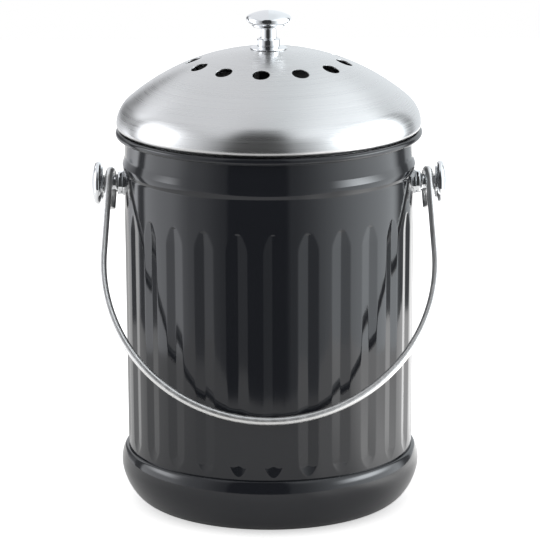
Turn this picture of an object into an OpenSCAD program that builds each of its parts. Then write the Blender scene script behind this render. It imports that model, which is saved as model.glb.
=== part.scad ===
// Kitchen compost caddy: fluted steel pail, vented lift-off lid, swinging bail handle.
// Millimetres. Z is up, the front faces -Y, the origin is the centre of the base on the table.

/* [Pail] */
// Outer radius of the wall at its top
pail_r = 87; // [80:0.5:95]
// Radius that the wall loses down to the foot
pail_taper = 1; // [0:0.1:2]
// Height of the rim's crest above the table
pail_h = 229.7; // [200:1:280]
// Sheet thickness of the wall and of the base
wall = 0.8; // [0.5:0.05:1.1]
// Radius of the rolled rim's section
roll_r = 2.1; // [1.8:0.05:2.5]
// How far the roll's centre stands out from the wall
roll_out = 2.9; // [2.6:0.05:3.2]
// Height of the round bead under the rim
bead_h = 9.4; // [7:0.2:12]
// How far the bead stands proud
bead_proud = 1; // [0.5:0.1:1.6]
// Bead centre below the rim's crest
bead_drop = 20.7; // [17:0.1:21]
// How far the wall is drawn in between the bead and the rim
neck_in = 0.4; // [0:0.1:0.6]
// Width of the lapped seam at the back
seam_w = 5; // [3:0.5:7]

/* [Flutes] */
// Number of flutes around the wall
flute_count = 26; // [16:1:30]
// Depth of a flute at its crease
flute_depth = 0.95; // [0.6:0.05:1.3]
// Width of a flute
flute_w = 12.3; // [9:0.1:14]
// Length of the rounded run-out at each end of a flute
flute_end = 7.5; // [4:0.5:8]
// Lower end of the crease above the foot's mouth
flute_rise = 9.8; // [9:0.1:30]
// Upper end of the crease below the rim's crest
flute_drop = 47.5; // [46.5:0.5:60]
// Turn of the first flute from the front
flute_turn = 1.35; // [-6:0.05:6]

/* [Foot] */
// How far the foot's widest line stands out from the wall
foot_flare = 4.5; // [3:0.1:8]
// Height of the foot's widest line
foot_z = 28.3; // [26:0.1:30]
// Sweep of the shoulder from the widest line up to the wall, in degrees
shoulder_a = 68.5; // [55:0.5:80]
// Radius of the flank below the widest line
foot_side_r = 33; // [32:0.5:40]
// Radius of the corner down to the table
foot_corner_r = 20; // [16:0.5:23]
// Width of the ring that stands on the table
stand_w = 11.5; // [6:0.5:20]
// Lift of the floor inside that ring
floor_lift = 1.5; // [0.8:0.1:3]

/* [Knobs] */
// Radius of the collar at a knob's foot
collar_r = 7; // [6:0.1:8]
// Height of a handle knob's collar
collar_h = 3; // [2:0.1:4]
// Radius of the neck that the handle turns on
neck_r = 4.7; // [4:0.1:5.5]
// Length of a handle knob's neck
neck_h = 8.4; // [8:0.1:11]
// Radius of the lip under the head
lip_r = 9.9; // [9:0.1:11]
// Thickness of the lip
lip_h = 1.4; // [1:0.1:2]
// Radius of the round edge of the heads
edge_r = 2.2; // [1.5:0.1:2.6]
// Radius of a handle knob's head
head_r = 12.8; // [12:0.1:14]
// Height from the lip to the widest line of a handle knob
flare_h = 2; // [1.6:0.1:3]
// Height of a handle knob's crown
crown_h = 4; // [3:0.1:6]
// Height of the lid knob's collar
lid_collar_h = 4.1; // [2:0.1:5]
// Length of the lid knob's neck
lid_neck_h = 7.3; // [6:0.1:10]
// Radius of the lid knob's head
lid_head_r = 13.5; // [12:0.1:15]
// Height from the lip to the widest line of the lid knob
lid_flare_h = 3.2; // [2:0.1:4]
// Height of the lid knob's crown
lid_crown_h = 4.9; // [3:0.1:7]

/* [Handle] */
// Pivot height below the rim's crest
pivot_drop = 33.4; // [33:0.1:36]
// Diameter of the handle's wire
wire_d = 4.8; // [3.5:0.1:5]
// How much wider the handle's bow is than its hooks
bow_swell = 3; // [1.5:0.1:8]
// Distance from the pivot down to the bow's centre
leg_h = 53.3; // [45:0.5:70]
// Clearance of the hook around the neck
hook_gap = 0.4; // [0.35:0.05:0.6]
// Sideways lean of the hook, which brings its tail inwards
hook_lean = 8; // [4:0.5:8.5]
// Length of the tail past the pivot
tail_len = 13.5; // [8:0.5:18]
// Clearance between the resting handle and the wall
rest_gap = 0.35; // [0.3:0.05:2]

/* [Screws and washers] */
// Radius of the screws in the handle knobs
screw_r = 2; // [1.5:0.1:2.5]
// Radius of a screw's pan head
pan_r = 4; // [3.4:0.1:4.6]
// Height of a pan head
pan_h = 2.4; // [1.8:0.1:3]
// Depth of a screw in its knob
screw_grip = 9; // [6:0.5:11]
// Radius of the washers on the wall
washer_r = 7.6; // [7:0.1:8.5]
// Thickness of a washer
washer_t = 0.9; // [0.6:0.1:1.2]
// Clearance of a screw in the holes it passes
hole_gap = 0.3; // [0.1:0.05:0.5]

/* [Lid] */
// How far the lid's edge stays inside the rolled rim's edge
lid_inset = 0.5; // [-1:0.1:1.5]
// Sheet thickness of the lid
lid_t = 0.7; // [0.5:0.05:0.9]
// Radius of the crown of the dome
crown_r = 130; // [115:1:170]
// Radius of the shoulder at the dome's edge
shoulder_r = 20; // [12:0.5:26]
// Radius of the turned-under edge
curl_r = 2.3; // [1.8:0.1:2.8]
// Width of the hem that rests on the rim
hem_w = 3.6; // [3:0.1:5]
// Depth of the locating ring below the rim's crest
ring_h = 12; // [6:0.5:14]
// Clearance of the locating ring in the pail
ring_gap = 0.8; // [0.4:0.1:1.5]
// Number of vent holes
vent_count = 12; // [6:1:16]
// Diameter of a vent hole
vent_d = 10.3; // [6:0.1:12]
// Radius of the circle of vent holes
vent_ring_r = 45.3; // [38:0.5:50]
// Turn of the front vent hole from the front
vent_turn = -5.7; // [-15:0.1:15]
// Radius of the dished flange under the lid knob
flange_r = 11; // [9:0.1:13]
// Height of that flange
flange_h = 1.4; // [1:0.1:2]

/* [Filter] */
// Radius of the filter holder
holder_r = 64; // [56:0.5:68]
// Depth of the filter holder below the dome at its edge
holder_h = 15; // [11:0.5:20]
// Wall thickness of the filter holder
holder_t = 1.6; // [1.2:0.1:2.2]
// Radius of the boss in the holder's middle
boss_r = 6; // [5:0.1:8]
// Radius of the lid screw
lid_screw_r = 2.4; // [2:0.1:2.8]
// Thickness of the charcoal filter
filter_h = 7; // [4:0.5:9]
// Clearance of the filter in its holder
filter_gap = 3.5; // [3.3:0.1:6]
// Number of air slots in the holder's floor
slot_count = 18; // [10:1:22]
// Width of an air slot
slot_w = 4; // [3:0.1:5]

/* [Hidden] */
// Clearance between pieces that rest on or sit in each other
seat = 0.05;
// How far a cutting shape runs past what it cuts
over = 0.5;
// How far each bend of the handle laps into the straight lengths beside it
lap = 0.3;
// Finest angle step along a drawn arc
arc_step = 5;
$fn = 96;

// Rim and bead
roll_z = pail_h - roll_r;
roll_x = pail_r + roll_out;
bead_z = pail_h - bead_drop;
bead_arc_r = (bead_h * bead_h / 4 + bead_proud * bead_proud) / (2 * bead_proud);
neck_z = roll_z - 2 * roll_out;
neck_wall_r = pail_r - neck_in;

// Foot: the shoulder meets the wall, the flank and the corner meet tangentially
foot_wall_r = pail_r - pail_taper;
foot_r = foot_wall_r + foot_flare;
mouth_r = foot_wall_r + seat;
foot_top_r = (foot_r - mouth_r - wall / 2) / (1 - cos(shoulder_a));
foot_top = foot_z + foot_top_r * sin(shoulder_a);
flank_a = asin((foot_z - foot_corner_r) / (foot_side_r - foot_corner_r));
corner_x = foot_r - foot_side_r + (foot_side_r - foot_corner_r) * cos(flank_a);
stand_r = corner_x - stand_w;
// The wall's lower edge stands on the inside of the flank, or of the corner if the foot is wide
flank_in = corner_x + (foot_corner_r - wall) * cos(flank_a);
wall_low = seat + (mouth_r > flank_in
    ? foot_z - sqrt(pow(foot_side_r - wall, 2) - pow(mouth_r - foot_r + foot_side_r, 2))
    : foot_corner_r - sqrt(pow(foot_corner_r - wall, 2) - pow(max(0, mouth_r - corner_x), 2)));

// Flutes
taper_top = pail_h - flute_drop + flute_end;
taper_a = atan(pail_taper / (taper_top - foot_top));
flute_top = pail_h - flute_drop;
flute_low = foot_top + flute_rise;
flute_mid = (flute_top + flute_low) / 2;
flute_mid_r = pail_r - (taper_top - flute_mid) * tan(taper_a);
flute_sag = flute_mid_r - sqrt(pow(flute_mid_r, 2) - pow(flute_w / 2, 2));
flute_slope = (flute_depth - flute_sag) / (flute_w / 2);

// Handle
pivot_z = pail_h - pivot_drop;
wire_r = wire_d / 2;
hook_r = neck_r + hook_gap + wire_r;
knob_x = pail_r + washer_t;
neck_x = knob_x + collar_h;
hook_x = neck_x + neck_h / 2;
leg_x = hook_x + hook_r * sin(hook_lean);
leg_y = -hook_r * cos(hook_lean);
bow_r = leg_x + bow_swell;
// Each straight leg runs from its hook and meets the bow tangentially
leg_span = sqrt(leg_x * leg_x + leg_h * leg_h);
leg_turn = atan(leg_h / leg_x) - acos(bow_r / leg_span);
leg_len = sqrt(leg_span * leg_span - bow_r * bow_r);
reach = leg_h + bow_r;
// Radius of the wall where the resting bow touches, and the swing that brings the bow there
rest_r = pail_r - pail_taper * 0.7 + rest_gap + wire_r;
swing_0 = asin(rest_r / sqrt(reach * reach + leg_y * leg_y)) - atan(-leg_y / reach);

// Lid
lid_r = roll_x + roll_r - lid_inset;
edge_z = pail_h + seat + curl_r;
crown_z = edge_z - sqrt(pow(crown_r - shoulder_r, 2) - pow(lid_r - shoulder_r, 2));
apex_z = crown_z + crown_r;
crown_a = acos((lid_r - shoulder_r) / (crown_r - shoulder_r));
vent_a = asin(vent_ring_r / crown_r);
ring_r = neck_wall_r - wall - ring_gap;
hem_z = pail_h + seat;

// Lid knob and filter
lid_knob_z = apex_z + flange_h;
rim_z = crown_z + sqrt(pow(crown_r - lid_t, 2) - pow(holder_r, 2)) - 2 * seat;
holder_z = rim_z - holder_h;
boss_top = apex_z - lid_t - 2 * seat;
slot_in = boss_r + 7;
slot_out = holder_r - 9;

black = "#2b2c30";
steel = "#c9cacc";
bright = "#e4e6e8";
zinc = "#a9abad";
plastic = "#3a3b3d";
carbon = "#1d1d1e";

// ---- Drawing helpers ----

// Points along an arc about [x, z] from angle a0 to a1
function arc(x, z, r, a0, a1) =
    let (n = max(1, ceil(abs(a1 - a0) / arc_step)))
    [for (i = [0:n]) let (a = a0 + (a1 - a0) * i / n) [x + r * cos(a), z + r * sin(a)]];

// Foot profile from its mouth down to the floor's centre, t inside the outer face
function foot_line(t) = concat(
    arc(foot_r - foot_top_r, foot_z, foot_top_r - t, shoulder_a, 0),
    arc(foot_r - foot_side_r, foot_z, foot_side_r - t, 0, -flank_a),
    arc(corner_x, foot_corner_r, foot_corner_r - t, -flank_a, -90),
    [[stand_r, t], [stand_r - floor_lift, t + floor_lift], [0, t + floor_lift]]
);

// Dome profile from the apex down to the edge, t inside the outer face
function dome_line(t) = concat(
    arc(0, crown_z, crown_r - t, 90, crown_a),
    arc(lid_r - shoulder_r, edge_z, shoulder_r - t, crown_a, 0)
);

module both_sides(side) {
    mirror([side < 0 ? 1 : 0, 0, 0]) children();
}

// Puts a child drawn upwards from the origin onto the pivot axis, pointing out along +X
module on_pivot(x) {
    translate([x, 0, pivot_z]) rotate([0, 90, 0]) children();
}

// ---- Pail ----

// The wall's section: t is how far inside its outer face the line runs
module wall_fill(t) {
    polygon([
        [0, wall_low - over], [foot_wall_r - t, wall_low - over], [foot_wall_r - t, foot_top],
        [pail_r - t, taper_top], [pail_r - t, bead_z], [neck_wall_r - t, neck_z],
        [neck_wall_r - t, roll_z + over], [0, roll_z + over]
    ]);
    intersection() {
        translate([pail_r + bead_proud - bead_arc_r, bead_z]) circle(bead_arc_r - t);
        translate([pail_r - bead_h, bead_z - bead_h / 2]) square([2 * bead_h, bead_h]);
    }
}

module wall_section() {
    difference() {
        wall_fill(0);
        wall_fill(wall);
        translate([0, neck_z]) square([2 * pail_r, pail_h]);
        square([2 * pail_r, wall_low]);
    }
    polygon([
        [neck_wall_r - wall, neck_z - seat], [neck_wall_r, neck_z - seat],
        [roll_x - roll_r * 0.8, roll_z - roll_r * 0.55], [roll_x - roll_r * 0.98, roll_z],
        [roll_x - roll_r, roll_z]
    ]);
    difference() {
        translate([roll_x, roll_z]) circle(roll_r);
        translate([roll_x, roll_z]) circle(roll_r - wall);
    }
}

// A valley with two flat flanks and fanned, rounded ends. Y points into the pail.
module flute(lift) {
    half = (flute_top - flute_low) / 2;
    w = (flute_depth + lift) / flute_slope;
    e = flute_end * (flute_depth + lift) / flute_depth;
    n = 6;
    upper = [for (i = [0:n]) [w * cos(180 * i / n), -lift, half + e * sin(180 * i / n)]];
    lower = [for (i = [0:n]) [-w * cos(180 * i / n), -lift, -half - e * sin(180 * i / n)]];
    polyhedron(
        points = concat([[0, flute_depth, half], [0, flute_depth, -half]], upper, lower),
        faces = concat(
            [[for (i = [2 * n + 3:-1:2]) i]],
            [for (i = [0:n - 1]) [0, i + 2, i + 3]],
            [for (i = [0:n - 1]) [1, n + 3 + i, n + 4 + i]],
            [[0, 1, 2 * n + 3, 2], [1, 0, n + 2, n + 3]]
        )
    );
}

module flutes(inset, lift) {
    for (i = [0:flute_count - 1])
        rotate([0, 0, flute_turn + i * 360 / flute_count])
            translate([0, inset - flute_mid_r, flute_mid])
                rotate([taper_a, 0, 0])
                    flute(lift);
}

module pivot_holes() {
    for (side = [-1, 1])
        both_sides(side) on_pivot(pail_r - 10 * wall) cylinder(r = screw_r + hole_gap, h = 20 * wall);
}

module pail_shell() {
    color(black) difference() {
        union() {
            rotate_extrude() wall_section();
            flutes(wall, wall / 8);
            seam();
        }
        flutes(0, over);
        pivot_holes();
    }
}

// Lapped edge of the sheet, inside the wall at the back between two flutes
module seam() {
    seam_z = flute_low - flute_end;
    rotate([0, 0, 180 + flute_turn + 180 / flute_count * ((flute_count + 1) % 2)])
        intersection() {
            rotate_extrude() polygon([
                [foot_wall_r - 2 * wall, seam_z], [foot_wall_r - wall / 2, seam_z],
                [pail_r - wall / 2, taper_top], [pail_r - wall / 2, bead_z - bead_h / 2 - 1],
                [pail_r - 2 * wall, bead_z - bead_h / 2 - 1], [pail_r - 2 * wall, taper_top]
            ]);
            translate([-seam_w / 2, -pail_r, 0]) cube([seam_w, pail_r, pail_h]);
        }
}

// Wire in the rolled rim
module rim_wire() {
    color(zinc) rotate_extrude() translate([roll_x, roll_z]) circle(roll_r - wall - seat);
}

// Deep-drawn foot and floor in one sheet
module base_cup() {
    outer = foot_line(0);
    inner = foot_line(wall);
    color(black) rotate_extrude() polygon(concat(
        outer,
        [for (i = [len(inner) - 1:-1:0]) inner[i]],
        [[mouth_r, inner[0][1] - wall], [mouth_r, foot_top]]
    ));
}

// ---- Handle fittings ----

// Knob: collar, coved neck, lip, round-edged head and low crown, with a blind screw hole
module knob(low, neck, head, flare, crown, bore_r) {
    lip_z = low + neck;
    wide_z = lip_z + lip_h + flare;
    edge_x = head - edge_r;
    cap_r = (edge_x * edge_x + crown * crown - edge_r * edge_r) / (2 * (crown - edge_r));
    cap_a = atan((cap_r - crown) / edge_x);
    cove = min(collar_r - neck_r, 1.6);
    difference() {
        rotate_extrude() polygon(concat(
            [[0, 0], [collar_r - 0.4, 0], [collar_r, 0.4], [collar_r, low - 0.7]],
            [[collar_r - 0.7, low], [neck_r + cove, low]],
            arc(neck_r + cove, low + cove, cove, 270, 180),
            arc(neck_r + cove, lip_z - cove, cove, 180, 90),
            [[lip_r - 0.5, lip_z], [lip_r, lip_z + 0.5], [lip_r, lip_z + lip_h]],
            arc(edge_x, wide_z, edge_r, -60, cap_a),
            arc(0, wide_z + crown - cap_r, cap_r, cap_a, 90)
        ));
        translate([0, 0, -over]) cylinder(r = bore_r, h = screw_grip + 1 + over);
    }
}

module pivot_knob(side) {
    color(bright) both_sides(side) on_pivot(knob_x)
        knob(collar_h, neck_h, head_r, flare_h, crown_h, screw_r + seat);
}

// Saddle washer: flat outside, hollowed to the round wall inside
module pivot_washer(side) {
    color(bright) both_sides(side) difference() {
        on_pivot(pail_r - washer_t) cylinder(r = washer_r, h = 2 * washer_t - seat);
        on_pivot(pail_r - 3 * washer_t) cylinder(r = screw_r + hole_gap, h = 6 * washer_t);
        cylinder(r = pail_r + seat, h = pail_h, $fn = 720);
    }
}

module backing_washer(side) {
    inner_r = pail_r - wall;
    color(zinc) both_sides(side) difference() {
        intersection() {
            on_pivot(inner_r - 1.6 * washer_t) cylinder(r = washer_r, h = 2 * washer_t);
            cylinder(r = inner_r - seat, h = pail_h, $fn = 720);
        }
        on_pivot(inner_r - 3 * washer_t) cylinder(r = screw_r + hole_gap, h = 6 * washer_t);
    }
}

// Pan head screw, drawn upwards from the underside of its head
module pan_screw(r, head, head_h, length, cross) {
    difference() {
        union() {
            cylinder(r = r, h = length);
            translate([0, 0, -head_h * 0.55]) cylinder(r = head, h = head_h * 0.55);
            translate([0, 0, -head_h]) cylinder(r1 = head * 0.68, r2 = head, h = head_h * 0.45);
        }
        for (a = [0, 90])
            rotate([0, 0, a]) translate([-cross / 2, -cross / 10, -head_h - over])
                cube([cross, cross / 5, over + head_h * 0.5]);
    }
}

module pivot_screw(side) {
    start = pail_r - wall - 1.6 * washer_t - seat;
    color(zinc) both_sides(side) on_pivot(start)
        pan_screw(screw_r, pan_r, pan_h, knob_x - start + screw_grip, pan_r);
}

// ---- Handle ----

module wire_bit(length) {
    cylinder(r = wire_r, h = length, $fn = 32);
}

// Bend that laps a little way into the straight lengths at both its ends
module wire_arc(r, turn) {
    lap_turn = lap * 360 / (2 * PI * r);
    rotate([0, 0, -lap_turn])
        rotate_extrude(angle = turn + 2 * lap_turn) translate([r, 0]) circle(wire_r - lap / 15, $fn = 32);
}

// One straight leg with its hook and tail, each bend tangent to the next
module leg() {
    translate([leg_x, leg_y, 0]) rotate([0, -leg_turn, 0]) {
        translate([0, 0, -leg_len]) wire_bit(leg_len);
        rotate([0, 0, hook_lean]) {
            translate([0, hook_r, 0]) rotate([90, 0, -90]) wire_arc(hook_r, 180);
            translate([0, 2 * hook_r, -tail_len]) wire_bit(tail_len);
        }
    }
}

module bail_handle() {
    color(steel) translate([0, 0, pivot_z]) rotate([-swing_0, 0, 0]) {
        translate([0, leg_y, -leg_h]) rotate([-90, 0, 0]) rotate([0, 0, -leg_turn])
            wire_arc(bow_r, 180 + 2 * leg_turn);
        for (side = [-1, 1])
            both_sides(side) leg();
    }
}

// ---- Lid ----

module lid_section() {
    outer = dome_line(0);
    inner = dome_line(lid_t);
    polygon(concat(
        outer,
        arc(lid_r - curl_r, edge_z, curl_r, 0, -90),
        [[lid_r - curl_r - hem_w, hem_z], [lid_r - curl_r - hem_w, hem_z + lid_t]],
        arc(lid_r - curl_r, edge_z, curl_r - lid_t, -90, 0),
        [for (i = [len(inner) - 1:-1:0]) inner[i]]
    ));
}

module vent_holes() {
    for (i = [0:vent_count - 1])
        rotate([0, 0, vent_turn + i * 360 / vent_count])
            translate([0, 0, crown_z])
                rotate([vent_a, 0, 0])
                    translate([0, 0, crown_r - 3 * lid_t])
                        cylinder(d = vent_d, h = 6 * lid_t, $fn = 48);
}

module lid_dome() {
    color(steel) difference() {
        rotate_extrude() lid_section();
        vent_holes();
        translate([0, 0, apex_z - 3 * lid_t]) cylinder(r = lid_screw_r + hole_gap, h = 6 * lid_t);
    }
}

// Ring inside the lid that keeps it centred in the pail's mouth
module lid_locating_ring() {
    low = pail_h - ring_h;
    weld_z = hem_z + lid_t + seat;
    out_r = lid_r - curl_r - 1;
    color(steel) rotate_extrude() polygon([
        [ring_r - lid_t, low], [ring_r, low], [ring_r, weld_z], [out_r, weld_z],
        [out_r, weld_z + lid_t], [ring_r - lid_t, weld_z + lid_t]
    ]);
}

// Dished flange between the dome and the lid's knob
module lid_knob_flange() {
    sag = crown_r - sqrt(crown_r * crown_r - flange_r * flange_r);
    color(bright) difference() {
        translate([0, 0, apex_z - sag]) rotate_extrude() polygon([
            [0, 0], [flange_r, seat], [flange_r, seat + 0.6], [flange_r - 0.4, seat + 0.8],
            [collar_r + 0.3, sag + flange_h - seat], [0, sag + flange_h - seat]
        ]);
        translate([0, 0, crown_z]) rotate_extrude()
            intersection() {
                circle(crown_r + seat, $fn = 240);
                square([2 * flange_r, 2 * crown_r]);
            }
        translate([0, 0, apex_z - 3]) cylinder(r = lid_screw_r + hole_gap, h = 9);
    }
}

module lid_knob() {
    color(bright) translate([0, 0, lid_knob_z])
        knob(lid_collar_h, lid_neck_h, lid_head_r, lid_flare_h, lid_crown_h, lid_screw_r + seat);
}

// ---- Filter ----

// Floor slots between the boss and the wall, with round ends
module air_slots() {
    for (i = [0:slot_count - 1])
        rotate([0, 0, (i + 0.5) * 360 / slot_count])
            translate([0, 0, holder_z - over])
                linear_extrude(holder_t + 2 * over) {
                    translate([-slot_w / 2, slot_in]) square([slot_w, slot_out - slot_in]);
                    translate([0, slot_in]) circle(d = slot_w, $fn = 24);
                    translate([0, slot_out]) circle(d = slot_w, $fn = 24);
                }
}

module filter_holder() {
    color(plastic) difference() {
        rotate_extrude() polygon([
            [0, holder_z], [holder_r - 4, holder_z], [holder_r - 2, holder_z + 2],
            [holder_r, rim_z], [holder_r - holder_t, rim_z + holder_t * 0.5],
            [holder_r - 2 - holder_t, holder_z + holder_t + 1.2],
            [holder_r - 3.2 - holder_t, holder_z + holder_t], [boss_r, holder_z + holder_t],
            [boss_r, boss_top], [0, boss_top]
        ]);
        translate([0, 0, holder_z - over])
            cylinder(r = lid_screw_r + hole_gap, h = boss_top - holder_z + 2 * over);
        air_slots();
    }
}

// Round charcoal pad on the holder's floor
module charcoal_filter() {
    pad_z = holder_z + holder_t + seat;
    pad_r = holder_r - holder_t - filter_gap;
    color(carbon) translate([0, 0, pad_z]) difference() {
        cylinder(r = pad_r, h = filter_h);
        translate([0, 0, -over]) cylinder(r = boss_r + hole_gap, h = filter_h + 2 * over);
    }
}

module lid_screw_washer() {
    color(zinc) translate([0, 0, holder_z - washer_t - seat]) difference() {
        cylinder(r = washer_r, h = washer_t);
        translate([0, 0, -over]) cylinder(r = lid_screw_r + hole_gap, h = washer_t + 2 * over);
    }
}

module lid_knob_screw() {
    start = holder_z - washer_t - 2 * seat;
    color(zinc) translate([0, 0, start])
        pan_screw(lid_screw_r, pan_r + 0.6, pan_h + 0.4, lid_knob_z - start + screw_grip, pan_r);
}

pail_shell();
rim_wire();
base_cup();
pivot_washer(-1);  // left_pivot_washer
pivot_washer(1);  // right_pivot_washer
pivot_knob(-1);  // left_pivot_knob
pivot_knob(1);  // right_pivot_knob
backing_washer(-1);  // left_backing_washer
backing_washer(1);  // right_backing_washer
pivot_screw(-1);  // left_pivot_screw
pivot_screw(1);  // right_pivot_screw
bail_handle();
lid_dome();
lid_locating_ring();
lid_knob_flange();
lid_knob();
lid_knob_screw();
lid_screw_washer();
filter_holder();
charcoal_filter();
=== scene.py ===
"""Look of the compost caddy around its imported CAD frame, in metres. Outlines are drawn in millimetres."""

import math

import bpy
from mathutils import Matrix, Quaternion, Vector


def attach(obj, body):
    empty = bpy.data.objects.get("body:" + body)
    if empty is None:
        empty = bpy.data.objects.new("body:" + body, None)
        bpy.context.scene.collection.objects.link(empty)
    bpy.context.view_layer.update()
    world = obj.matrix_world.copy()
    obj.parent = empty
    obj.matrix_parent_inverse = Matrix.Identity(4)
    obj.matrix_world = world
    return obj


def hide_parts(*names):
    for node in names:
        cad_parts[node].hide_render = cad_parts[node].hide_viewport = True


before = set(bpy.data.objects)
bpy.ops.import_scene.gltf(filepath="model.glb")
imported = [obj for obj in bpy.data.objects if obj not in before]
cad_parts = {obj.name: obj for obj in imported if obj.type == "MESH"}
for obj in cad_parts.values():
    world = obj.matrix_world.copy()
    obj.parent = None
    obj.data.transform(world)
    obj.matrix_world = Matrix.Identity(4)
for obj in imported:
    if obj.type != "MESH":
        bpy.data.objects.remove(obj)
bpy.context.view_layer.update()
MM = 0.001

# ---- Sizes of the CAD part that the finer pieces repeat, in millimetres and degrees ----
# Wall: radius at the bead, taper down to the foot, height of the rim, thickness
PAIL_R, TAPER, PAIL_H, WALL = 87.0, 1.0, 229.7, 0.8
# Rolled rim: radius, how far its middle stands outside the wall, and the step in at the neck
ROLL_R, ROLL_OUT, NECK_IN = 2.1, 2.9, 0.4
# Bead: height, how proud it stands, and how far its middle lies under the rim
BEAD_H, BEAD_PROUD, BEAD_DROP = 9.4, 1.0, 20.7
# Flutes: count, depth, width, length of an end, rise over the foot, drop under the rim, turn from the front
FLUTES, FLUTE_D, FLUTE_W, FLUTE_END = 26, 0.95, 12.3, 7.5
FLUTE_RISE, FLUTE_DROP, FLUTE_TURN = 9.8, 47.5, 1.35
# Foot: widest radius and its height, angle of the shoulder, radii of side and corner, standing ring, floor
FOOT_R, FOOT_Z, SHOULDER_A = 90.5, 28.3, 68.5
FOOT_SIDE_R, FOOT_CORNER_R, STAND_W, FLOOR_LIFT = 33.0, 20.0, 11.5, 1.5
# Lid: radius, thickness, radii of crown, shoulder and curled edge, width of the hem
LID_R, LID_T, CROWN_R, SHOULDER_R, CURL_R, HEM_W = 91.5, 0.7, 130.0, 20.0, 2.3, 3.6
# Vents: count, diameter, radius of their ring, turn from the front
VENTS, VENT_D, VENT_RING, VENT_TURN = 12, 10.3, 45.3, -5.7
# Flange under the lid's knob: radius, and its height over the crown
FLANGE_R, FLANGE_H = 11.0, 1.4
# Knobs: radii of collar, neck, lip and rounded edge, and what differs between the two kinds
COLLAR_R, NECK_R, LIP_R, LIP_H, EDGE_R = 7.0, 4.7, 9.9, 1.4, 2.2
SIDE_KNOB = {"collar": 3.0, "neck": 8.4, "head": 12.8, "flare": 2.0, "crown": 4.0}
TOP_KNOB = {"collar": 4.1, "neck": 7.3, "head": 13.5, "flare": 3.2, "crown": 4.9}
# Thickness of a washer, and the play between two faces that meet
WASHER_T, SEAT = 0.9, 0.05
# Wire: radius, swell of the bow over the legs, length of the legs, length of the tails
WIRE_R, BOW_SWELL, LEG_H, TAIL = 2.4, 3.0, 53.3, 13.5
# Hooks: play in a knob's neck, lean, drop under the rim. Bow: what it keeps from the wall at rest
HOOK_GAP, HOOK_LEAN, PIVOT_DROP, REST_GAP = 0.4, 8.0, 33.4, 0.35
# Filter: radius, height, thickness and boss of its holder, then the pad's play and height
HOLDER_R, HOLDER_H, HOLDER_T, HOLDER_BOSS_R = 64.0, 15.0, 1.6, 6.3
FILTER_GAP, FILTER_H = 3.5, 7.0

mid_r = PAIL_R - TAPER / 2
neck_r = PAIL_R - NECK_IN
roll_z, roll_x = PAIL_H - ROLL_R, PAIL_R + ROLL_OUT
neck_z = roll_z - 2 * ROLL_OUT
bead_z = PAIL_H - BEAD_DROP
mouth_r = PAIL_R - TAPER + SEAT
foot_top_r = (FOOT_R - mouth_r - WALL / 2) / (1 - math.cos(math.radians(SHOULDER_A)))
foot_top = FOOT_Z + foot_top_r * math.sin(math.radians(SHOULDER_A))
flute_low = foot_top + FLUTE_RISE
flute_top = PAIL_H - FLUTE_DROP
taper_top = flute_top + FLUTE_END
pivot_z = PAIL_H - PIVOT_DROP
edge_z = PAIL_H + SEAT + CURL_R
shoulder_x = LID_R - SHOULDER_R
crown_z = edge_z - math.sqrt((CROWN_R - SHOULDER_R) ** 2 - shoulder_x**2)
apex_z = crown_z + CROWN_R
crown_a = math.acos(shoulder_x / (CROWN_R - SHOULDER_R))

# ---- Sizes that only the scene has, in millimetres ----
# Flute: rounding of its crease, and the more of it at the dent and at the scoop
CREASE_R, DENT_ROUND, SCOOP_ROUND = 0.2, 1.5, 0.8
# Upper end: depth of the dent, and how the flanks draw in: start under the top, length, power of the curve
DENT_D, DRAW_START, DRAW_LENGTH, DRAW_POWER = 0.15, 8.5, 11.5, 1.3
# Lower end: slope, cross curve and reach of the scoop, and how much the flute gets shallower towards it
SCOOP_SLOPE, SCOOP_CURVE, SCOOP_REACH, SCOOP_RISE = 0.11, 0.017, 7.7, 0.06
# Up to this far under its top a flute follows its upper end's form
UPPER_END = 12.0
# Softness of the flute's outer edge, and the height over the wall past which a flute has no effect
EDGE_SOFT, EDGE_LIMIT = 0.03, 0.3
# Foot: how much its lip stands higher and its side narrower than in the solids
LIP_RISE, SIDE_SLIM = 0.7, 0.3
# Lid: how much wider its lower edge is rounded, and how far the shoulder's arc stops short of upright
CURL_MORE, TUCK = 1.3, 5.3
# Vents: width of the band that holds them on either side of their ring, and faces round and across a patch
BAND, PATCH_ROUND, PATCH_ACROSS = 8.2, 16, 10


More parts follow.
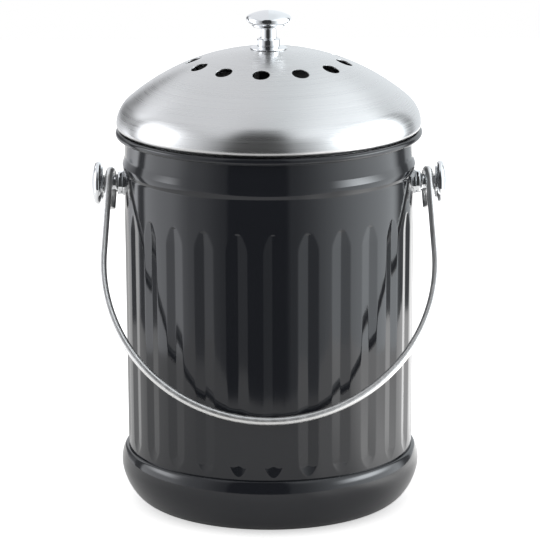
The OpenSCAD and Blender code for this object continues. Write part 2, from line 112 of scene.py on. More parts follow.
# ---- Materials ----
class Shade:
    """Wires the nodes of one material or world. A value is a number, vector, colour or node output."""

    def __init__(self, owner):
        owner.use_nodes = True
        self.owner = owner
        self.tree = owner.node_tree
        self.bsdf = self.tree.nodes.get("Principled BSDF")

    def put(self, socket, value):
        if isinstance(value, bpy.types.NodeSocket):
            self.tree.links.new(value, socket)
        else:
            socket.default_value = value

    def node(self, kind, **sockets):
        """Adds a node and fills the inputs that are named."""
        made = self.tree.nodes.new(kind)
        for key, value in sockets.items():
            self.put(made.inputs[key.replace("_", " ")], value)
        return made

    def fill(self, kind, *values):
        """Adds a node and fills its first inputs in their order."""
        made = self.tree.nodes.new(kind)
        for socket, value in zip(made.inputs, values):
            self.put(socket, value)
        return made

    def set(self, **values):
        for key, value in values.items():
            self.put(self.bsdf.inputs[key.replace("_", " ")], value)

    def math(self, operation, *values):
        made = self.fill("ShaderNodeMath", *values)
        made.operation = operation
        return made.outputs[0]

    def total(self, first, *more):
        for value in more:
            first = self.math("ADD", first, value)
        return first

    def product(self, first, *more):
        for value in more:
            first = self.math("MULTIPLY", first, value)
        return first

    def less(self, value):
        """What is left of one."""
        return self.math("SUBTRACT", 1.0, value)

    def between(self, share, a, b):
        """The number a where share is zero and b where it is one."""
        return self.total(self.product(a, self.less(share)), self.product(b, share))

    def span(self, x, y):
        return self.math("SQRT", self.total(self.product(x, x), self.product(y, y)))

    def turn(self, x, y):
        """Degrees round from the front, growing to the right."""
        return self.product(self.math("ARCTAN2", x, self.product(y, -1.0)), 180 / math.pi)

    def step(self, value, low, high, to_low=0.0, to_high=1.0):
        """Eases from to_low to to_high while the value goes from low to high."""
        made = self.fill("ShaderNodeMapRange", value, low, high, to_low, to_high)
        made.interpolation_type = "SMOOTHSTEP"
        return made.outputs[0]

    def window(self, value, rise, fall, level=1.0):
        """Rises to the level over the two values in rise and falls again over the two in fall."""
        return self.product(self.step(value, *rise), self.step(value, *fall, level, 0.0))

    def mix(self, share, a, b):
        """The colour a where share is zero and b where it is one."""
        made = self.tree.nodes.new("ShaderNodeMix")
        made.data_type = "RGBA"
        for index, value in ((0, share), (6, a), (7, b)):
            self.put(made.inputs[index], value)
        return made.outputs[2]

    def place(self, kind="Object"):
        return self.node("ShaderNodeTexCoord").outputs[kind]

    def parts(self, vector):
        return self.node("ShaderNodeSeparateXYZ", Vector=vector).outputs

    def noise(self, scale, detail=2.0, rough=0.5, stretch=None, where=None):
        if where is None:
            where = self.place()
        if stretch:
            where = self.node("ShaderNodeMapping", Vector=where, Scale=stretch).outputs[0]
        made = self.node("ShaderNodeTexNoise", Vector=where, Scale=scale, Detail=detail, Roughness=rough)
        return made.outputs["Fac"]

    def bump(self, height, strength, distance):
        made = self.node("ShaderNodeBump", Height=height, Strength=strength, Distance=distance)
        self.set(Normal=made.outputs[0])


def rgb(r, g, b):
    return (r, g, b, 1.0)


def grey(level):
    return rgb(level, level, level)


def coat_material():
    """Gloss black coat with a faint unevenness."""
    s = Shade(bpy.data.materials.new("black_coat"))
    wide = s.noise(14.0)
    s.set(Base_Color=s.mix(wide, rgb(0.0095, 0.0105, 0.0135), rgb(0.0115, 0.0125, 0.0155)))
    s.set(Roughness=s.step(wide, 0.2, 0.8, 0.075, 0.105), IOR=1.5)
    s.bump(s.noise(900.0, detail=1.0), 0.03, 0.00002)
    return s.owner


def brushed_material():
    """Steel brushed in rings about the axis."""
    across, fine = 7.0, 700.0
    s = Shade(bpy.data.materials.new("brushed_steel"))
    x, y, z = s.parts(s.place())
    down = s.math("SUBTRACT", s.span(x, y), z)
    spread = (s.product(x, across), s.product(y, across), s.product(down, fine))
    rings = s.fill("ShaderNodeCombineXYZ", *spread).outputs[0]
    lines = s.noise(1.0, detail=4.0, rough=0.65, where=rings)
    s.set(Metallic=1.0, Base_Color=s.mix(lines, grey(0.60), rgb(0.72, 0.72, 0.715)))
    s.set(Roughness=s.step(lines, 0.2, 0.8, 0.24, 0.34), Anisotropic=0.6, Anisotropic_Rotation=0.25)
    tangent = s.node("ShaderNodeTangent")
    tangent.direction_type = "RADIAL"
    tangent.axis = "Z"
    s.set(Tangent=tangent.outputs[0])
    s.bump(lines, 0.05, 0.0001)
    return s.owner


def metal_material(name, colour, rough, mottle=30.0, stretch=None):
    """Bare or plated metal whose colour and roughness vary a little."""
    s = Shade(bpy.data.materials.new(name))
    wear = s.noise(mottle, detail=3.0, stretch=stretch)
    lighter = (min(1.0, c * 1.06) for c in colour)
    s.set(Metallic=1.0, Base_Color=s.mix(wear, rgb(*colour), rgb(*lighter)))
    s.set(Roughness=s.step(wear, 0.25, 0.75, rough * 0.85, rough * 1.2))
    return s.owner


def plastic_material():
    """Matt moulded plastic."""
    s = Shade(bpy.data.materials.new("holder_plastic"))
    s.set(Base_Color=s.mix(s.noise(40.0), rgb(0.03, 0.031, 0.033), rgb(0.04, 0.041, 0.043)), Roughness=0.5)
    s.bump(s.noise(2600.0), 0.25, 0.0001)
    return s.owner


def felt_material():
    """Felt filled with carbon."""
    s = Shade(bpy.data.materials.new("carbon_felt"))
    fibre = s.noise(1500.0, detail=5.0, rough=0.7, stretch=(1.0, 1.0, 0.4))
    s.set(Base_Color=s.mix(fibre, rgb(0.008, 0.008, 0.009), rgb(0.035, 0.035, 0.037)), Roughness=0.95)
    s.set(Sheen_Weight=0.25, Sheen_Roughness=0.6)
    s.bump(fibre, 0.8, 0.0006)
    return s.owner


coat = coat_material()
brushed = brushed_material()
chrome = metal_material("polished_chrome", (0.80, 0.81, 0.82), 0.045)
wire_steel = metal_material("wire_steel", (0.84, 0.836, 0.826), 0.38, 220.0, (1.0, 1.0, 0.25))
zinc = metal_material("zinc_plate", (0.60, 0.61, 0.62), 0.3, 160.0)
plastic = plastic_material()
felt = felt_material()


# ---- Mesh helpers ----
def build(name, points, faces, material, body, node, sharp=35.0):
    """Makes the piece that takes the place of one CAD node."""
    mesh = bpy.data.meshes.new(name)
    mesh.from_pydata([tuple(c * MM for c in p) for p in points], [], faces)
    mesh.validate()
    mesh.polygons.foreach_set("use_smooth", [True] * len(mesh.polygons))
    mesh.update()
    mesh.set_sharp_from_angle(angle=math.radians(sharp))
    made = bpy.data.objects.new(name, mesh)
    bpy.context.scene.collection.objects.link(made)
    mesh.materials.append(material)
    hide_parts(node)
    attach(made, body)
    return made


def arc(x, z, r, start, end, step=4.0):
    """Points on a circle about x, z from one angle to another, in degrees."""
    n = max(2, math.ceil(abs(end - start) / step))
    turns = [math.radians(start + (end - start) * i / n) for i in range(n + 1)]
    return [(x + r * math.cos(a), z + r * math.sin(a)) for a in turns]


def bezier(p0, p1, p2, n):
    """Points on the curve that leaves p0 and reaches p2, both in line with p1."""
    return [
        tuple((1 - t) ** 2 * a + 2 * t * (1 - t) * b + t * t * c for a, b, c in zip(p0, p1, p2))
        for t in (i / n for i in range(n + 1))
    ]


def chain(*runs):
    """Joins runs of outline points and drops repeats."""
    same = 1e-4
    line = []
    for run in runs:
        for p in run:
            if not line or math.dist(line[-1], p) > same:
                line.append(p)
    return line


def weave(rows, closed):
    """Faces between neighbouring rings of point numbers, facing the same way all over."""
    faces = []
    count = len(rows[0])
    last = len(rows) if closed else len(rows) - 1
    for i in range(last):
        a, b = rows[i], rows[(i + 1) % len(rows)]
        for j in range(count):
            k = (j + 1) % count
            corners = list(dict.fromkeys((a[j], a[k], b[k], b[j])))
            if len(corners) > 2:
                faces.append(corners)
    return faces


def spin(line, angles, closed=False):
    """Points and faces of an outline turned about Z. A point on the axis becomes a pole."""
    on_axis = 1e-6
    points, rows = [], []
    for r, z in line:
        if r < on_axis:
            rows.append([len(points)] * len(angles))
            points.append((0.0, 0.0, z))
        else:
            rows.append(list(range(len(points), len(points) + len(angles))))
            points += [(r * math.cos(a), r * math.sin(a), z) for a in angles]
    return points, [f[::-1] for f in weave(rows, closed)]


def turned(name, line, material, body, node, n=128, closed=False, place=None, sharp=35.0):
    """A lathe piece. Its outer side is walked from the top down, or from the axis out and down."""
    points, faces = spin(line, [2 * math.pi * i / n for i in range(n)], closed)
    if place is not None:
        points = [tuple(place @ Vector(p)) for p in points]
    return build(name, points, faces, material, body, node, sharp)


# ---- Pail wall ----
def unit(value, low, high):
    """How far the value is from low to high, kept from 0 to 1."""
    return min(1.0, max(0.0, (value - low) / (high - low)))


def ease(value, low, high):
    """As unit, with a soft start and end."""
    u = unit(value, low, high)
    return u * u * (3 - 2 * u)


def flute_depth(across, z):
    """Depth of the pressed valley at some distance beside its crease. Its flanks draw in to a small dent
    at the upper end, and run out into a rounded scoop at the lower end."""
    half = FLUTE_W / 2
    sag = mid_r - math.sqrt(mid_r**2 - half**2)
    slope = (FLUTE_D - sag) / half
    bulge = across * across / (2 * mid_r)
    above, below = z - flute_top, flute_low - z
    blunt = CREASE_R + DENT_ROUND * ease(above, 0.5, 1.8) + SCOOP_ROUND * ease(below, -4.0, 0.5)
    flank = slope * (math.hypot(across, blunt) - CREASE_R)
    if above > -UPPER_END:
        drawn = unit(above, -DRAW_START, DRAW_LENGTH - DRAW_START) ** DRAW_POWER
        depth = FLUTE_D - (FLUTE_D - DENT_D) * drawn - DENT_D * ease(above, 2.8, 4.4) - flank
    else:
        valley = FLUTE_D - SCOOP_RISE * ease(below, -6.0, 0.0) - flank
        depth = min(valley, SCOOP_SLOPE * (SCOOP_REACH - below) - SCOOP_CURVE * across * across)
    depth -= bulge
    if depth < -EDGE_LIMIT:
        return 0.0
    return (depth + math.hypot(depth, EDGE_SOFT)) / 2


def flute_columns():
    """Angle of each upright line of the sheet, and how far it lies beside its flute's crease."""
    pitch = 2 * math.pi / FLUTES
    beside = [0.0, 0.12, 0.3, 0.6, 1.0, 1.4, 1.8, 2.2, 2.6, 3.0, 3.4, 3.8, 4.2]
    beside += [4.7, 5.2, 5.7, 6.1, 6.5, 7.2, 8.6, 10.3]
    beside = [s for s in beside if s < pitch / 2 * mid_r]
    offsets = [-s for s in beside[:0:-1]] + beside
    columns = []
    for i in range(FLUTES):
        crease = math.radians(FLUTE_TURN - 90) + i * pitch
        columns += [(crease + s / mid_r, s) for s in offsets]
    return columns


def fluted_side():
    """Outline of the tapered side, with its points close together at both ends of the flutes."""
    low = FOOT_Z + 0.3
    scoop = [9.2, 7.4, 5.5, 4.2, 3.2, 2.4, 1.7, 1.1, 0.6, 0.2] + [-0.25 - 0.45 * i for i in range(18)]
    dent = [-10.0, -8.2, -6.5, -5.2, -4.2, -3.4, -2.7, -2.0, -1.4, -0.8, -0.3]
    dent += [0.2, 0.6, 1.0, 1.4, 1.8, 2.2, 2.7, 3.3, 4.0, 4.8]
    levels = [low, low + 2.5] + sorted(flute_low + d for d in scoop)
    levels += [flute_low + 20 + 21 * i for i in range(5)]
    levels += [flute_top + d for d in dent] + [taper_top + 6]
    return [(PAIL_R - TAPER * unit(taper_top - z, 0.0, taper_top - foot_top), z) for z in levels]


def wall_outline():
    """Closed half section of the sheet: up the outside, round the rolled rim and down the inside."""
    proud_x = PAIL_R + BEAD_PROUD
    under, over = bead_z - BEAD_H / 2, bead_z + BEAD_H / 2
    bead_r = (BEAD_H**2 / 4 + BEAD_PROUD**2) / (2 * BEAD_PROUD)
    bead_a = math.degrees(math.asin(BEAD_H / 2 / bead_r))
    bead = arc(proud_x - bead_r, bead_z, bead_r, -bead_a + 3, 2, 2.5)
    ramp_start, ramp_end = (proud_x - 0.12, bead_z + 0.9), (neck_r + 0.2, over - 0.3)
    outer = fluted_side()
    outer += bezier((PAIL_R, under - 1.3), (PAIL_R, under), bead[0], 5) + bead[1:-1]
    outer += bezier(bead[-1], (proud_x, bead_z + 0.5), ramp_start, 4)
    outer += bezier(ramp_end, (neck_r, over + 0.4), (neck_r, over + 1.4), 4)
    under_roll = (roll_x - ROLL_R * 0.8, roll_z - ROLL_R * 0.6)
    outer += bezier((neck_r, neck_z + 2.6), (neck_r + 0.1, roll_z - ROLL_R), under_roll, 6)
    roll = arc(roll_x, roll_z, ROLL_R - SEAT, 218, 540, 9.0)
    inner_r = neck_r - WALL
    flare = bezier((roll_x - ROLL_R, roll_z), (inner_r + 0.5, neck_z + 3), (inner_r, neck_z), 6)
    inner = [(r - WALL, z) for r, z in outer[::-1] if z < neck_z]
    return chain(outer, roll, flare, inner[:-1:2] + inner[-1:])


def pail_wall():
    """The whole sheet, from its hidden lower edge up over the rolled rim and down the inside."""
    columns = flute_columns()
    points, rows = [], []
    for r, z in wall_outline():
        fluted = z < flute_top + 8 and r < PAIL_R + 0.5
        rows.append(list(range(len(points), len(points) + len(columns))))
        for angle, across in columns:
            q = r - flute_depth(across, z) if fluted else r
            points.append((q * math.cos(angle), q * math.sin(angle), z))
    build("pail_wall", points, weave(rows, True), coat, "caddy", "pail_shell", 50.0)


# ---- Foot ----
def foot():
    """Drawn cup with a rounded lip, a full side, a rounded corner, a standing ring and a raised floor."""
    side_x = FOOT_R - FOOT_SIDE_R
    flank = math.degrees(math.asin((FOOT_Z - FOOT_CORNER_R) / (FOOT_SIDE_R - FOOT_CORNER_R)))
    corner_x = side_x + (FOOT_SIDE_R - FOOT_CORNER_R) * math.cos(math.radians(flank))
    stand = corner_x - STAND_W
    # Degrees under the widest radius from where on the side is as in the solids
    join = 12.8
    low_r = side_x + FOOT_SIDE_R * math.cos(math.radians(join))
    low_z = FOOT_Z - FOOT_SIDE_R * math.sin(math.radians(join))
    top_z, wide = foot_top + LIP_RISE, FOOT_R - SIDE_SLIM

    def lower_arcs(inset):
        """Side and corner under the join, this far inside the outer face."""
        side = arc(side_x, FOOT_Z, FOOT_SIDE_R - inset, -join, -flank, 3.0)
        return side + arc(corner_x, FOOT_CORNER_R, FOOT_CORNER_R - inset, -flank, -90)

    lip_end, side_start = (mouth_r + 2.3, top_z - 1.05), (wide, low_z + 4.5)
    outside = chain(
        [(mouth_r, foot_top - 1.5), (mouth_r, top_z - 0.1)],
        bezier((mouth_r + 0.1, top_z), (mouth_r + 1.7, top_z + 0.1), lip_end, 8),
        bezier(lip_end, (wide, top_z - 4.6), side_start, 12),
        bezier(side_start, (wide, low_z + 2.3), (low_r, low_z), 5),
        lower_arcs(0),
    )
    thin = wide - WALL
    inside = chain(
        [(mouth_r + 1.0, top_z - 2.2)],
        bezier((mouth_r + 1.6, top_z - 3.0), (thin, top_z - 5.5), (thin, low_z + 4.0), 8),
        lower_arcs(WALL),
    )
    flat_r = 30
    under = bezier((stand, 0), (stand - 1.2, 0), (stand - 2, FLOOR_LIFT), 5)
    under += [(flat_r, FLOOR_LIFT), (0, FLOOR_LIFT)]
    floor_z = FLOOR_LIFT + WALL
    over = [(0, floor_z), (flat_r, floor_z)]
    over += bezier((stand - 2.2, floor_z), (stand - 1.4, WALL), (stand, WALL), 5)
    line = chain(outside, under, over, inside[::-1])
    turned("foot", line, coat, "caddy", "base_cup", 240, closed=True)


# ---- Knobs ----
def knob_line(collar, neck, head, flare, crown):
    """Half section of a knob from the top of its crown down to its foot, with every edge rounded."""
    cove = 1.6
    lip_z = collar + neck
    lip_top = lip_z + LIP_H
    edge_x, edge_h = head - EDGE_R, lip_top + flare
    cap_r = (edge_x**2 + crown**2 - EDGE_R**2) / (2 * (crown - EDGE_R))
    cap_a = math.degrees(math.atan2(cap_r - crown, edge_x))
    edge = arc(edge_x, edge_h, EDGE_R, cap_a, -60, 5.0)
    lip_start, lip_end = (LIP_R - 0.15, lip_top), (LIP_R - 0.1, lip_z + 0.25)
    return chain(
        arc(0, edge_h + crown - cap_r, cap_r, 90, cap_a, 2.0),
        edge,
        bezier(edge[-1], (LIP_R + 0.5, lip_top + 0.1), lip_start, 6),
        bezier(lip_start, (LIP_R + 0.4, lip_z + LIP_H * 0.55), lip_end, 8),
        bezier(lip_end, (LIP_R - 1.2, lip_z), (NECK_R + cove + 0.6, lip_z), 6),
        arc(NECK_R + cove, lip_z - cove, cove, 90, 180, 9.0),
        arc(NECK_R + cove, collar + cove, cove, 180, 270, 9.0),
        bezier((COLLAR_R - 0.8, collar), (COLLAR_R, collar), (COLLAR_R, collar - 0.8), 6),
        bezier((COLLAR_R, 0.45), (COLLAR_R, 0), (COLLAR_R - 0.45, 0), 5),
        [(0, 0)],
    )


def knobs():
    """The two side knobs, which face outwards, and the knob on the lid."""
    line = knob_line(**SIDE_KNOB)
    for side, word in ((-1, "left"), (1, "right")):
        place = Matrix.Translation((side * (PAIL_R + WASHER_T), 0, pivot_z))
        place = place @ Matrix.Rotation(math.radians(90 * side), 4, "Y")
        node = f"{word}_pivot_knob"
        turned(f"{word}_knob", line, chrome, "caddy", node, 96, place=place, sharp=40.0)
    place = Matrix.Translation((0, 0, apex_z + FLANGE_H))
    line = knob_line(**TOP_KNOB)
    turned("top_knob", line, chrome, "lid", "lid_knob", place=place, sharp=40.0)


def dished_flange():
    """Thin dish under the lid's knob, with a rounded edge."""
    base = apex_z - CROWN_R + math.sqrt(CROWN_R**2 - FLANGE_R**2)
    top = apex_z + FLANGE_H
    rim_in, rim = (FLANGE_R - 0.5, base + 0.72), (FLANGE_R, base + 0.35)
    line = chain(
        [(0, top - SEAT), (COLLAR_R - 0.6, top - SEAT)],
        bezier((COLLAR_R - 0.2, top - 0.1), (COLLAR_R + 0.7, base + 1.2), rim_in, 10),
        bezier(rim_in, (FLANGE_R, base + 0.7), rim, 6),
        bezier(rim, (FLANGE_R, base + 0.06), (FLANGE_R - 0.4, base + 0.08), 4),
        [(FLANGE_R - 1.5, base + 0.25), (0, apex_z + SEAT)],
    )
    turned("dished_flange", line, chrome, "lid", "lid_knob_flange")


# ---- Handle ----
def wire_path():
    """Middle line of the bent wire at rest: tail, hook, straight leg, bow and the same again."""
    hook_r = NECK_R + HOOK_GAP + WIRE_R
    lean = math.radians(HOOK_LEAN)
    hook_x = PAIL_R + WASHER_T + SIDE_KNOB["collar"] + SIDE_KNOB["neck"] / 2
    leg_x, leg_y = hook_x + hook_r * math.sin(lean), -hook_r * math.cos(lean)
    bow_r = leg_x + BOW_SWELL
    span = math.hypot(leg_x, LEG_H)
    turn = math.atan2(LEG_H, leg_x) - math.acos(bow_r / span)
    length = math.sqrt(span**2 - bow_r**2)
    leg = Matrix.Translation((leg_x, leg_y, 0)) @ Matrix.Rotation(-turn, 4, "Y")
    hook = leg @ Matrix.Rotation(lean, 4, "Z")

    side = [hook @ Vector((0, 2 * hook_r, -TAIL + t)) for t in (0.0, 0.15, 0.5, 1.2)]
    side += [hook @ Vector((0, 2 * hook_r, -TAIL * (1 - t))) for t in (0.35, 0.65)]
    for a in (math.radians(degree) for degree in range(0, 181, 6)):
        side.append(hook @ Vector((0, hook_r + hook_r * math.cos(a), hook_r * math.sin(a))))
    side += [leg @ Vector((0, 0, -length * t)) for t in (0.15, 0.4, 0.7)]

    bow, n = [], 120
    for i in range(n + 1):
        a = turn - (math.pi + 2 * turn) * i / n
        bow.append(Vector((bow_r * math.cos(a), leg_y, -LEG_H + bow_r * math.sin(a))))
    other_side = [Vector((-p.x, p.y, p.z)) for p in reversed(side)]

    # Share of the wall's taper that the solids count with where the bow rests
    taper_share = 0.7
    rest_r = PAIL_R - TAPER * taper_share + REST_GAP + WIRE_R
    reach = LEG_H + bow_r
    swing = math.asin(rest_r / math.hypot(reach, leg_y)) - math.atan2(-leg_y, reach)
    pose = Matrix.Translation((0, 0, pivot_z)) @ Matrix.Rotation(-swing, 4, "X")
    return [pose @ p for p in side + bow + other_side]


def handle():
    """The wire, swept along its path with a round section and rounded tips."""
    n = 32
    path = wire_path()
    radii = [WIRE_R] * len(path)
    for k, cut in enumerate((0.55, 0.22, 0.02)):
        radii[k] = radii[-1 - k] = WIRE_R - cut
    points, rows = [], []
    normal = (path[1] - path[0]).normalized().orthogonal().normalized()
    for i, p in enumerate(path):
        ahead = (path[min(i + 1, len(path) - 1)] - path[max(i - 1, 0)]).normalized()
        normal = (normal - ahead * normal.dot(ahead)).normalized()
        other = ahead.cross(normal)
        rows.append(list(range(len(points), len(points) + n)))
        for a in (2 * math.pi * j / n for j in range(n)):
            points.append(tuple(p + (normal * math.cos(a) + other * math.sin(a)) * radii[i]))
    faces = [f[::-1] for f in weave(rows, False)] + [rows[0], rows[-1][::-1]]
    build("bail", points, faces, wire_steel, "handle", "bail_handle", 50.0)


# ---- Lid ----
inner_share = (CROWN_R - LID_T) / CROWN_R
vent_turn = math.radians(VENT_TURN - 90)
sector = 2 * math.pi / VENTS
band_low, band_high = VENT_RING - BAND, VENT_RING + BAND
sphere_mid = Vector((0, 0, crown_z))


def crown(radii, sphere_r=CROWN_R):
    """Outline points on the crown's sphere."""
    return [(r, crown_z + math.sqrt(sphere_r**2 - r * r)) for r in radii]


def on_crown(r, a):
    """The point on top of the crown at a radius and an angle."""
    return Vector((r * math.cos(a), r * math.sin(a), crown_z + math.sqrt(CROWN_R**2 - r * r)))


def lid_edge():
    """Outline from the vents' band over the shoulder, round the edge and its hem, and back up inside."""
    shoulder_a = math.degrees(crown_a)
    shoulder_top = CROWN_R * math.cos(crown_a)
    soft_r = CURL_R + CURL_MORE
    soft_x = shoulder_x + (SHOULDER_R - soft_r) * math.cos(math.radians(TUCK))
    soft_z = edge_z + (SHOULDER_R - soft_r) * math.sin(math.radians(TUCK))
    hem_x, hem_z = LID_R - CURL_R - HEM_W, PAIL_H + SEAT
    inner_r = CROWN_R - LID_T
    inner_edge = inner_r * math.cos(crown_a)
    return chain(
        crown(band_high + (shoulder_top - band_high) * i / 8 for i in range(9)),
        arc(shoulder_x, edge_z, SHOULDER_R, shoulder_a, TUCK, 2.5),
        arc(soft_x, soft_z, soft_r, TUCK, -90, 6.0),
        bezier((soft_x, soft_z - soft_r), (soft_x - 1.0, soft_z - soft_r), (soft_x - 1.6, hem_z), 4)[1:],
        [(hem_x + 0.2, hem_z), (hem_x, hem_z + LID_T / 2), (hem_x + 0.2, hem_z + LID_T)],
        arc(soft_x, soft_z, soft_r - LID_T, -90, TUCK, 10.0),
        arc(shoulder_x, edge_z, SHOULDER_R - LID_T, TUCK, shoulder_a, 4.0),
        crown((inner_edge * 0.93, inner_edge * 0.82, band_high * inner_share), inner_r),
    )


def vent_patch(mid):
    """Rings of one vent's patch: from its outer border to the hole, through the sheet, and back inside."""
    hole = VENT_D / 2
    start, end = mid - sector / 2, mid + sector / 2
    around = [sector * i / PATCH_ROUND for i in range(PATCH_ROUND)]
    rise = [(band_high - band_low) * i / PATCH_ACROSS for i in range(PATCH_ACROSS)]
    border = [(band_high, start + a) for a in around] + [(band_high - r, end) for r in rise]
    border += [(band_low, end - a) for a in around] + [(band_low + r, start) for r in rise]
    edge = [on_crown(r, a) for r, a in border]
    axis = (on_crown(VENT_RING, mid) - sphere_mid).normalized()
    across = Vector((-math.sin(mid), math.cos(mid), 0))
    out = across.cross(axis)
    ways = []
    for p in edge:
        a = math.atan2((p - sphere_mid).dot(out), (p - sphere_mid).dot(across))
        ways.append(across * math.cos(a) + out * math.sin(a))

    def ring(radius, depth):
        tilt = math.asin(radius / CROWN_R)
        sphere_r = CROWN_R - depth
        return [sphere_mid + (axis * math.cos(tilt) + way * math.sin(tilt)) * sphere_r for way in ways]

    lip = ring(hole + 0.5, 0.0)
    outside = []
    for t in (0.0, 0.3, 0.6, 0.85):
        row = [(e + (h - e) * t - sphere_mid).normalized() for e, h in zip(edge, lip)]
        outside.append([sphere_mid + way * CROWN_R for way in row])
    through = [lip, ring(hole + 0.2, 0.04), ring(hole + 0.05, 0.13), ring(hole, 0.3), ring(hole, LID_T)]
    inside = [[sphere_mid + (p - sphere_mid) * inner_share for p in row] for row in reversed(outside)]
    return outside + through + inside


def dome():
    """Sheet dome with round-edged vents, its shoulder, turned edge and hem."""
    points, faces, numbers = [], [], {}

    def add(p):
        """Number of a point. Outlines and patches that meet share the points of their border."""
        key = tuple(round(c, 3) for c in p)
        if key not in numbers:
            numbers[key] = len(points)
            points.append(tuple(p))
        return numbers[key]

    steps = PATCH_ROUND * VENTS
    angles = [vent_turn - sector / 2 + sector * i / PATCH_ROUND for i in range(steps)]
    top = [(0.0, apex_z)] + crown((4, 9, 16, 23, 30, band_low))
    top_inside = crown((band_low * inner_share, 30, 20, 10), CROWN_R - LID_T) + [(0.0, apex_z - LID_T)]
    for line in (top, lid_edge(), top_inside):
        made, quads = spin(line, angles)
        ids = [add(p) for p in made]
        faces += [[ids[v] for v in quad] for quad in quads]
    for k in range(VENTS):
        rings = [[add(p) for p in ring] for ring in vent_patch(vent_turn + k * sector)]
        faces += weave(rings, False)
    build("dome", points, faces, brushed, "lid", "lid_dome", 38.0)


# ---- Filter ----
def filter_pad():
    """Soft round pad of carbon felt with rounded edges, in its holder."""
    rim_z = crown_z + math.sqrt((CROWN_R - LID_T) ** 2 - HOLDER_R**2) - 2 * SEAT
    base = rim_z - HOLDER_H + HOLDER_T + SEAT
    top = base + FILTER_H
    outer, inner = HOLDER_R - HOLDER_T - FILTER_GAP, HOLDER_BOSS_R
    skin = 0.03
    middle = (outer - 0.02, base + FILTER_H / 2)
    rings = range(14, 55, 8)
    line = chain(
        bezier((inner + 0.1, top - 0.8), (inner + 0.2, top - 0.1), (inner + 1.2, top - 0.05), 4),
        [(r, top - skin) for r in rings],
        bezier((outer - 2.2, top - skin), (outer - 0.1, top - 0.1), middle, 8),
        bezier(middle, (outer - 0.1, base + 0.1), (outer - 2.2, base + skin), 8),
        [(r, base + skin) for r in reversed(rings)],
        bezier((inner + 1.2, base + 0.05), (inner + 0.2, base + 0.1), (inner + 0.1, base + 0.8), 4),
    )
    made = turned("carbon_pad", line, felt, "lid", "charcoal_filter", 160, closed=True)


pail_wall()
foot()
knobs()
dished_flange()
handle()
dome()
filter_pad()


# ---- Nodes that stay as the CAD has them ----
def dress(material, *nodes):
    """Gives nodes of the frame this material alone."""
    for node in nodes:
        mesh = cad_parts[node].data
        mesh.materials.clear()
        mesh.materials.append(material)


dress(zinc, "rim_wire", "lid_knob_screw", "lid_screw_washer")
dress(zinc, "left_backing_washer", "right_backing_washer", "left_pivot_screw", "right_pivot_screw")
dress(chrome, "left_pivot_washer", "right_pivot_washer")
dress(brushed, "lid_locating_ring")
dress(plastic, "filter_holder")


# ---- Studio ----
def floor():
    """Pale table with a front edge, so that the glossy wall shows the dark room beyond it. What mirrors the
    table also sees a painted pool of side light on it, a glow that only glossy rays see; the camera sees it
    as white, with the object's shadow."""
    half_w, front, back = 0.45, -0.365, 1.6
    corners = [(-half_w, front, 0), (half_w, front, 0), (half_w, back, 0), (-half_w, back, 0)]
    mesh = bpy.data.meshes.new("table_top")
    mesh.from_pydata(corners, [], [(0, 1, 2, 3)])
    made = bpy.data.objects.new("table_top", mesh)
    bpy.context.scene.collection.objects.link(made)
    made.location.z = -0.0002
    s = Shade(bpy.data.materials.new("pale_table"))
    s.tree.nodes.remove(s.bsdf)
    matt = s.node("ShaderNodeBsdfDiffuse", Color=s.mix(s.noise(60.0), grey(0.90), grey(0.93)))
    path = s.node("ShaderNodeLightPath").outputs
    x, y, _ = s.parts(s.place())
    # Painted light: a pool of side light glowing on the table for glossy rays alone, strong to the right,
    # faint to the left and none right beside the object
    turn = s.turn(x, y)
    right = s.total(s.step(turn, 20, 36, 0.0, 0.55), s.step(turn, 50, 75, 0.0, 1.5))
    right = s.product(right, s.step(turn, 78, 100, 1.0, 0.55))
    left = s.step(turn, -80, -40, 0.15, 0.0)
    painted_side_light = s.product(s.total(right, left), s.step(s.span(x, y), 0.07, 0.24))
    glow = s.total(s.product(path["Is Camera Ray"], 0.6), s.product(path["Is Glossy Ray"], painted_side_light))
    glow = s.node("ShaderNodeEmission", Strength=glow)
    both = s.fill("ShaderNodeAddShader", matt.outputs[0], glow.outputs[0])
    s.put(s.tree.nodes["Material Output"].inputs["Surface"], both.outputs[0])
    mesh.materials.append(s.owner)


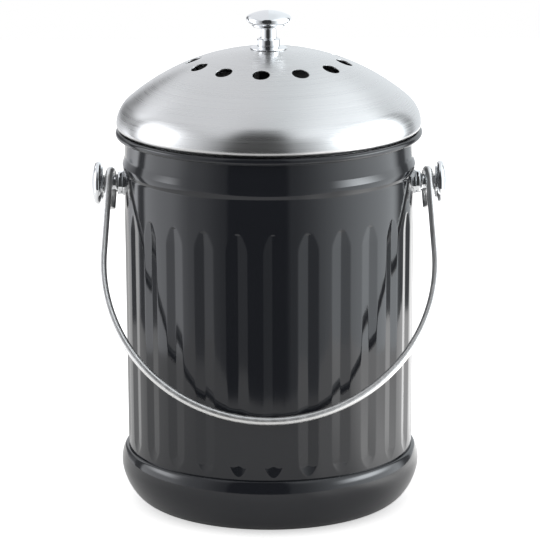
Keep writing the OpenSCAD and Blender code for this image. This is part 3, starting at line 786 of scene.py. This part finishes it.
def mirrored_room(s):
    """The room as a mirror sees it. Here turn is in degrees to the right of the front, left is in degrees
    to its left, and up and across are parts of the direction, which has a length of one."""
    across, y, up = s.parts(s.place("Generated"))
    turn = s.turn(across, y)
    left = s.product(turn, -1.0)
    # A soft box on each side with a brighter core
    core = s.window(up, (0.12, 0.25), (0.33, 0.46))
    right_core = s.product(core, s.window(turn, (48, 78), (82, 116), 8.5))
    right_box = s.total(s.step(turn, 14, 92, 0.32, 2.7), right_core)
    right_box = s.product(right_box, s.step(turn, 114, 129, 1.0, 0.1))
    left_core = s.product(core, s.window(left, (72, 91), (96, 118), 3.8))
    left_box = s.total(s.step(left, 30, 66, 0.25, 0.9), s.step(left, 62, 86, 0.0, 1.05), left_core)
    left_box = s.product(left_box, s.step(left, 115, 120, 1.0, 0.12))
    # The boxes end at a dark gap in front
    beside = s.total(s.product(left_box, s.step(left, 31, 35)), s.product(right_box, s.step(turn, 13, 17)))
    # The room behind the object starts past a dark strip on each side
    dim = s.window(up, (-0.12, 0.04), (0.28, 0.42), 0.75)
    dim = s.product(dim, s.step(left, 160, 170, 1.0, 0.0))
    back_left = s.product(s.step(left, 126, 130), s.step(left, 130, 148, 1.9, 0.9), s.less(dim))
    back = s.math("MAXIMUM", back_left, s.step(turn, 135, 142))
    darkest = 0.04
    around = s.math("MAXIMUM", s.math("MAXIMUM", beside, back), darkest)
    # The ceiling, which reaches down less far in front
    front = s.product(s.step(left, 31, 44, 1.0, 0.0), s.step(turn, 12, 27, 1.0, 0.0))
    over = s.between(front, s.step(up, 0.45, 0.75), s.step(up, 0.9, 1.0))
    ceiling = s.total(s.step(across, 0.1, 0.5, 0.9, 1.35), s.step(across, -0.85, -0.5, -0.4, 0.0))
    tint = s.mix(s.step(turn, -60, 60), rgb(0.97, 0.99, 1.03), rgb(0.95, 1.0, 1.04))
    return s.node("ShaderNodeBackground", Color=tint, Strength=s.between(over, around, ceiling))


def studio():
    """White room that lights the object evenly. What is glossy shows soft boxes and dark gaps in it."""
    world = bpy.data.worlds.new("studio")
    bpy.context.scene.world = world
    s = Shade(world)
    s.tree.nodes.clear()
    path = s.node("ShaderNodeLightPath").outputs
    white = s.node("ShaderNodeBackground", Color=grey(1.0), Strength=1.0)
    even = s.node("ShaderNodeBackground", Color=grey(1.0), Strength=0.95)
    room = mirrored_room(s)
    light = s.fill("ShaderNodeMixShader", path["Is Glossy Ray"], even.outputs[0], room.outputs[0])
    seen = s.fill("ShaderNodeMixShader", path["Is Camera Ray"], light.outputs[0], white.outputs[0])
    s.node("ShaderNodeOutputWorld", Surface=seen.outputs[0])


def camera():
    """The photo's camera, found from the ellipses of rim, bead and foot. Angles are in radians."""
    away, height, tilt, roll = 2.2206, 0.6761, 0.236, -0.0036
    data = bpy.data.cameras.new("camera")
    made = bpy.data.objects.new("camera", data)
    bpy.context.scene.collection.objects.link(made)
    made.location = (0.0, -away, height)
    made.rotation_mode = "QUATERNION"
    made.rotation_quaternion = Quaternion((1, 0, 0), math.pi / 2 - tilt) @ Quaternion((0, 0, 1), roll)
    data.sensor_width = 36.0
    data.lens = 251.9
    data.shift_x = 0.001
    data.clip_start, data.clip_end = 0.1, 50.0
    bpy.context.scene.camera = made


floor()
studio()
camera()
bpy.context.scene.view_settings.view_transform = "Standard"
